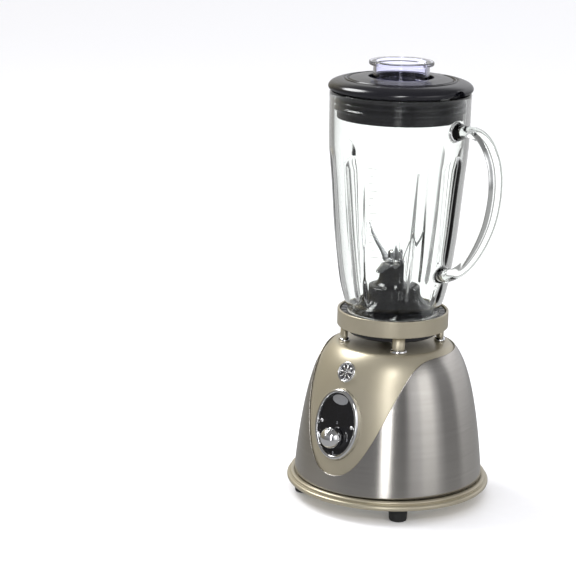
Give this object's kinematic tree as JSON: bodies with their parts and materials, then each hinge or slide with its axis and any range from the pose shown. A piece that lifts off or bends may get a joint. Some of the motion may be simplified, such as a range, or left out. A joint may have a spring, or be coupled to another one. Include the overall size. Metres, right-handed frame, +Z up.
{
  "type": "countertop blender",
  "caption": "Countertop blender: domed motor base with an oval control panel, collar on posts, fluted glass jar with strap handle, black lid and clear filler cap.",
  "frame": {"origin": "centre of the bounding box, on the plane that the feet stand on", "axes": "+Z up along the motor's axis, -Y to the front with the control panel, +X towards the jar's handle"},
  "size_m": [0.2053, 0.1884, 0.4033],
  "materials": {
    "champagne_paint": "satin metallic champagne enamel",
    "brushed_steel": "brushed stainless steel",
    "chrome": "polished chrome plate",
    "black_plastic": "gloss black moulding",
    "matte_black_plastic": "satin black moulding",
    "black_rubber": "moulded rubber",
    "grey_window": "silver-grey lacquer",
    "zinc_steel": "zinc-plated steel",
    "lamination_steel": "stacked electrical steel",
    "copper": "enamelled copper",
    "carbon": "pressed carbon",
    "bronze": "drawn brass",
    "clear_glass": "pressed clear glass",
    "clear_plastic": "clear plastic with a faint lavender edge",
    "silicone": "moulded silicone"
  },
  "bodies": {
    "base": {"badge": "chrome", "base_ring": "champagne_paint", "bottom_plate": "zinc_steel", "brush_holder_left": "bronze", "brush_holder_right": "bronze", "carbon_brush_left": "carbon", "carbon_brush_right": "carbon", "collar_post_1": "champagne_paint", "collar_post_2": "champagne_paint", "collar_post_3": "champagne_paint", "collar_post_4": "champagne_paint", "collar_ring": "champagne_paint", "control_panel": "black_plastic", "cord_grommet": "black_rubber", "dome_cover": "champagne_paint", "field_coil_left": "copper", "field_coil_right": "copper", "foot_screw_1": "zinc_steel", "foot_screw_2": "zinc_steel", "foot_screw_3": "zinc_steel", "foot_screw_4": "zinc_steel", "indicator_window": "grey_window", "jar_seat": "black_plastic", "lower_bearing": "chrome", "lower_motor_bracket": "zinc_steel", "panel_bezel": "chrome", "panel_stud_1": "chrome", "panel_stud_2": "chrome", "panel_stud_3": "chrome", "post_washer_1": "chrome", "post_washer_2": "chrome", "post_washer_3": "chrome", "post_washer_4": "chrome", "rubber_foot_1": "black_rubber", "rubber_foot_2": "black_rubber", "rubber_foot_3": "black_rubber", "rubber_foot_4": "black_rubber", "stator_core": "lamination_steel", "steel_wrap": "brushed_steel", "switch_body": "matte_black_plastic", "upper_bearing": "chrome", "upper_motor_bracket": "zinc_steel"},
    "rotor": {"motor_shaft": "zinc_steel", "armature_core": "lamination_steel", "commutator": "copper", "cooling_fan": "matte_black_plastic", "drive_coupling": "black_rubber"},
    "knob": {"speed_knob": "chrome", "switch_shaft": "zinc_steel"},
    "jar": {"glass_jar": "clear_glass", "jar_collar": "black_plastic", "blade_housing": "black_plastic", "jar_gasket": "silicone"},
    "blades": {"blade_shaft": "chrome", "blade_upper": "chrome", "blade_lower": "chrome", "blade_nut": "zinc_steel", "jar_coupling": "black_rubber"},
    "lid": {"lid": "black_plastic"},
    "cap": {"filler_cap": "clear_plastic"}
  },
  "joints": [
    {"name": "motor_spin", "type": "hinge", "parent": "base", "child": "rotor", "pos_m": [-0.00925, 0, 0.1], "axis": [0, 0, 1], "continuous": true},
    {"name": "knob_turn", "type": "hinge", "parent": "base", "child": "knob", "pos_m": [-0.00925, -0.07972, 0.07081], "axis": [0, -0.9833, 0.1822], "range_deg": [-180, 90]},
    {"name": "jar_lift", "type": "slide", "parent": "base", "child": "jar", "axis": [0, 0, 1], "range_m": [0, 0.06]},
    {"name": "blade_spin", "type": "hinge", "parent": "jar", "child": "blades", "pos_m": [-0.00925, 0, 0.2], "axis": [0, 0, 1], "continuous": true},
    {"name": "lid_lift", "type": "slide", "parent": "jar", "child": "lid", "axis": [0, 0, 1], "range_m": [0, 0.05]},
    {"name": "cap_lift", "type": "slide", "parent": "lid", "child": "cap", "axis": [0, 0, 1], "range_m": [0, 0.03]}
  ],
  "couplings": [
    {"joint": "blade_spin", "follows": "motor_spin", "ratio": 1}
  ]
}
